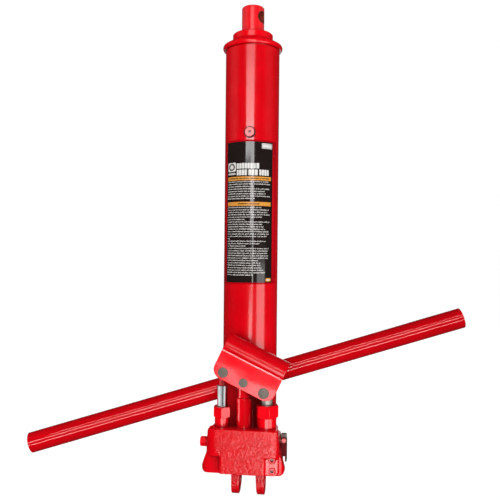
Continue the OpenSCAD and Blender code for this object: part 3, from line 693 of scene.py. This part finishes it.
def add_plate(bm, side):
    """One flat side of the rocker, with its top edge folded inwards."""
    outline = plate_outline()
    outer, inner = side * HALF_W, side * (HALF_W - SHEET)
    chamfer = 0.35 * MM

    def loop(y, inset=0.0):
        k = 1 - inset / (ROCKER_LEN / 2)
        return [bm.verts.new((x * k, y, z + (inset if z < 0 else 0))) for x, z in outline]

    loops = [loop(inner), loop(outer - side * chamfer), loop(outer, chamfer)]
    for a, b in zip(loops, loops[1:]):
        for i in range(len(a) - 1):
            bm.faces.new((a[i], a[i + 1], b[i + 1], b[i]))
    bm.faces.new(loops[0][::-1])
    bm.faces.new(loops[2])
    end = ROCKER_LEN / 2 - chamfer
    rows = [[bm.verts.new((x, outer - side * y, PLATE_TOP + z)) for y, z in fold_profile()]
            for x in (-end, end)]
    for i in range(len(rows[0]) - 1):
        bm.faces.new((rows[0][i], rows[1][i], rows[1][i + 1], rows[0][i + 1]))
    for row in rows:
        bm.faces.new(row + [bm.verts.new((row[0].co.x, row[-1].co.y, PLATE_TOP))])


def add_tube_x(bm, r_out, r_in, x0, x1, z, chamfer, sides=72):
    """A tube along X with chamfered ends."""
    profile = [(x0, r_in + chamfer), (x0, r_out - chamfer), (x0 + chamfer, r_out), (x1 - chamfer, r_out),
               (x1, r_out - chamfer), (x1, r_in + chamfer), (x1 - chamfer, r_in), (x0 + chamfer, r_in)]
    rings = []
    for i in range(sides):
        a = 2 * math.pi * i / sides
        rings.append([bm.verts.new((x, r * math.cos(a), z + r * math.sin(a))) for x, r in profile])
    for i in range(sides):
        a, b = rings[i], rings[(i + 1) % sides]
        for k in range(len(profile)):
            bm.faces.new((a[k], a[(k + 1) % len(profile)], b[(k + 1) % len(profile)], b[k]))


def rocker_piece(name, bm, replaces=()):
    bmesh.ops.remove_doubles(bm, verts=bm.verts, dist=1e-7)
    bmesh.ops.recalc_face_normals(bm, faces=bm.faces)
    bm.transform(rocker_place())
    return piece(name, mesh_of(bm, name), "rocker", "red_paint", paint, replaces=replaces)


def rocker_plates():
    bm = bmesh.new()
    for side in (-1, 1):
        add_plate(bm, side)
    return rocker_piece("rocker_plates", bm, ["rocker_bracket"])


def rocker_socket():
    bm = bmesh.new()
    half = ROCKER_LEN / 2
    add_tube_x(bm, SOCKET_OUT_R, SOCKET_BORE_R, -half, half, SOCKET_T, 0.5 * MM)
    return rocker_piece("rocker_socket", bm)


plates = rocker_plates()
socket = rocker_socket()


# ---- The valve springs ----


def valve_spring(node):
    """A copy of the spring, fixed to the jack body in place of the model's spring."""
    obj = piece(node + "_coil", NODES[node].data.copy(), "jack_body", "spring_steel", replaces=[node])
    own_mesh(obj)


valve_spring("delivery_spring")
valve_spring("relief_spring")


# ---- Stage and lights ----

FLOOR_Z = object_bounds()[0][2] - 0.3 * MM


def backdrop():
    """A seamless bowl: a round floor that curves up into a wall on every side."""
    bm = bmesh.new()
    reach, radius, height, sides = 3.0, 1.2, 5.0, 64
    path = [(reach + radius * math.sin(a), radius - radius * math.cos(a))
            for a in (math.radians(6 * i) for i in range(16))]
    path.append((reach + radius, height))
    turns = [2 * math.pi * i / sides for i in range(sides)]
    rings = [[bm.verts.new((r * math.cos(a), r * math.sin(a), FLOOR_Z + z)) for a in turns] for r, z in path]
    bm.faces.new(rings[0])
    for a, b in zip(rings, rings[1:]):
        for i in range(sides):
            j = (i + 1) % sides
            bm.faces.new((a[i], a[j], b[j], b[i]))
    mesh = mesh_of(bm, "backdrop", 60)
    obj = bpy.data.objects.new("backdrop", mesh)
    bpy.context.scene.collection.objects.link(obj)
    t = Tree("backdrop_white")
    t.set(t.shader.inputs["Base Color"], t.mix(t.noise(3, 2), (0.12, 0.12, 0.12, 1), (0.1, 0.1, 0.1, 1)))
    t.shader.inputs["Roughness"].default_value = 0.9
    t.shader.inputs["Emission Color"].default_value = (1, 1, 1, 1)
    t.shader.inputs["Emission Strength"].default_value = 1.0
    mesh.materials.append(t.material)
    obj.visible_glossy = False
    obj.visible_diffuse = False
    obj.visible_shadow = False


PANEL_DISTANCE = 1.5
FILL_DISTANCE = 1.9


def panel(name, azimuth, elevation, distance, width, height, radiance, target=(0, 0, 0.3), only=None):
    """A soft box aimed at target. Azimuth 0 is straight in front, positive to the right.

    With a collection in only, it lights nothing else."""
    a, e = math.radians(azimuth), math.radians(elevation)
    data = bpy.data.lights.new(name, "AREA")
    data.shape = "RECTANGLE"
    data.size, data.size_y = width, height
    data.energy = radiance * math.pi * width * height
    light = bpy.data.objects.new(name, data)
    bpy.context.scene.collection.objects.link(light)
    where = Vector((math.sin(a) * math.cos(e), -math.cos(a) * math.cos(e), math.sin(e))) * distance
    light.location = Vector(target) + where
    aim = where.to_track_quat("Z", "Y").to_matrix().to_4x4()
    light.matrix_world = Matrix.Translation(light.location) @ aim
    light.visible_camera = False
    if only:
        light.light_linking.receiver_collection = only
    return light


def group(name, objects):
    collection = bpy.data.collections.new(name)
    for obj in objects:
        collection.objects.link(obj)
    return collection


def all_but(name, *left_out):
    """Every mesh in the scene so far, but for the ones left out."""
    return group(name, [o for o in bpy.context.scene.objects if o.type == "MESH" and o not in left_out])


def world(strength):
    data = bpy.data.worlds.new("studio")
    data.use_nodes = True
    data.node_tree.nodes["Background"].inputs[0].default_value = (1, 1, 1, 1)
    data.node_tree.nodes["Background"].inputs[1].default_value = strength
    bpy.context.scene.world = data


def level_panel(name, azimuth, width, low, high, radiance, only=None):
    """An upright soft box, between two heights."""
    middle = (0, 0, (low + high) / 2)
    return panel(name, azimuth, 0, PANEL_DISTANCE, width, high - low, radiance, middle, only=only)


def fill(name, azimuth, elevation, radiance, size=1.4, only=None):
    """A wide light that brightens matt surfaces and leaves no reflection."""
    light = panel(name, azimuth, elevation, FILL_DISTANCE, size, size, radiance, only=only)
    light.visible_glossy = False
    return light


HANDLE_YAW = math.radians(7)
HANDLE_SLOPE = math.radians(16.7)
STRIP_DISTANCE = 0.85
STRIP_HEIGHT = 0.3
STRIP_OFFSETS = (-0.42, 0.12, 0.66)
STRIP_LENGTH, STRIP_WIDTH = 1.6, 0.07
STRIP_RADIANCE = 11.0


def handle_strips(only):
    """Three strips along the handle, which draw the pale lines on it."""
    ca, sa = math.cos(HANDLE_YAW), math.sin(HANDLE_YAW)
    cs, ss = math.cos(HANDLE_SLOPE), math.sin(HANDLE_SLOPE)
    along = Vector((ca * cs, sa * cs, ss))
    across = Vector((-ca * ss, -sa * ss, cs))
    back = along.cross(across)
    for offset in STRIP_OFFSETS:
        light = panel("handle_strip", 0, 0, 1, STRIP_LENGTH, STRIP_WIDTH, STRIP_RADIANCE, only=only)
        light.visible_diffuse = False
        where = Vector((STRIP_DISTANCE * sa, -STRIP_DISTANCE * ca, STRIP_HEIGHT)) + offset * across
        turn = Matrix((along, across, back)).transposed().to_4x4()
        light.matrix_world = Matrix.Translation(where) @ turn


def low_panel(name, width, height, radiance, target, only):
    """An upright soft box straight in front of target."""
    return panel(name, 0, 0, PANEL_DISTANCE, width, height, radiance, target, only=only)


rod, post, link = NODES["left_plunger"], NODES["fulcrum_post"], NODES["release_link"]
halves = [NODES["handle_lower"], NODES["handle_upper"]]
tube = NODES["reservoir_tube"]


def common_lights():
    """The soft boxes that most of the jack sees."""
    most = all_but("all_but_rod_and_handle", rod, *halves)
    others = all_but("all_but_rod_handle_and_socket", rod, socket, *halves)
    low_front = all_but("seen_from_the_right", rod, post, link, *halves)
    low_smooth = all_but("seen_from_below", rod, post, link, casting, plates, tube, *halves)
    level_panel("front_low", -0.9, 0.96, 0.63, 0.77, 9.0, others)
    level_panel("front_mid", -0.9, 0.96, 0.77, 0.97, 4.5, others)
    level_panel("front_high", -0.9, 0.96, 0.97, 1.23, 2.2, others)
    level_panel("front_right", 9.6, 0.38, 0.375, 0.63, 8.0, others)
    level_panel("front_strip", 14.4, 0.1, 0.0, 0.375, 8.0, most)
    level_panel("right", 50, 0.95, -0.5, 0.25, 3.4, low_front)
    low_panel("front_floor", 1.065, 0.76, 4.6, (0.2675, 0, -0.42), low_smooth)


def low_lights():
    """The low soft boxes of the tube, the rocker's plates and the casting, and the one behind."""
    low_panel("tube_floor", 0.3, 0.45, 5.0, (0.16, 0, -0.115), group("tube_lit", [tube]))
    plates_lit = group("plates_lit", [plates])
    low_panel("plate_floor", 1.08, 0.84, 4.7, (0.29, 0, -0.43), plates_lit)
    level_panel("fold_line", 0, 1.4, 0.62, 1.0, 9.0, plates_lit)
    low_panel("casting_floor", 0.9, 0.3, 7.5, (0.33, 0, -0.46), group("casting_lit", [casting]))
    level_panel("back", 180, 0.5, 0.0, 0.7, 1.2)


def fills():
    """The fills that the whole scene sees."""
    fill("fill_left", -80, 20, 2.0)
    fill("fill_right", 85, 20, 1.1)
    fill("fill_back", 180, 25, 1.8)
    fill("fill_front", 0, 25, 0.25)
    fill("fill_top", 20, 82, 0.5)


RAM_RING = 8
RAM_PANEL_WIDTH = 0.95


def piece_lights():
    """Soft boxes that only one piece sees, or one pair."""
    socket_lit = group("socket_lit", [socket])
    for height in (0.42, 0.62):
        level_panel("socket_line_%d" % (height * 100), 0, 1.2, height, height + 0.05, 7.0, socket_lit)
    rod_lit = group("rod_lit", [rod, NODES["right_plunger"]])
    for azimuth, radiance in ((-92, 0.8), (-52, 0.95), (-12, 0.5), (53, 0.9), (95, 1.25)):
        level_panel("rod_side_%d" % (azimuth + 180), azimuth, 1.1, -0.7, 0.5, radiance, rod_lit)
    ram_lit = group("ram_lit", [NODES["ram"]])
    for i in range(RAM_RING):
        azimuth = 360 // RAM_RING * i - 10
        for low, high, radiance in ((-0.3, 0.95, 1.0), (0.95, 1.7, 0.3)):
            light = level_panel("ram_side_%d" % i, azimuth, RAM_PANEL_WIDTH, low, high, radiance, ram_lit)
            light.visible_diffuse = False
    handle_lit = group("handle_lit", halves)
    handle_strips(handle_lit)
    fill("handle_fill", 0, -10, 5.6, only=handle_lit)
    post_lit = group("post_lit", [post])
    level_panel("post_line", -75, 0.6, -0.8, 0.4, 4.0, post_lit)
    fill("post_fill", 10, 10, 1.6, only=post_lit)


bpy.context.scene.view_settings.view_transform = "Standard"
backdrop()
world(strength=0.03)
common_lights()
low_lights()
fills()
piece_lights()
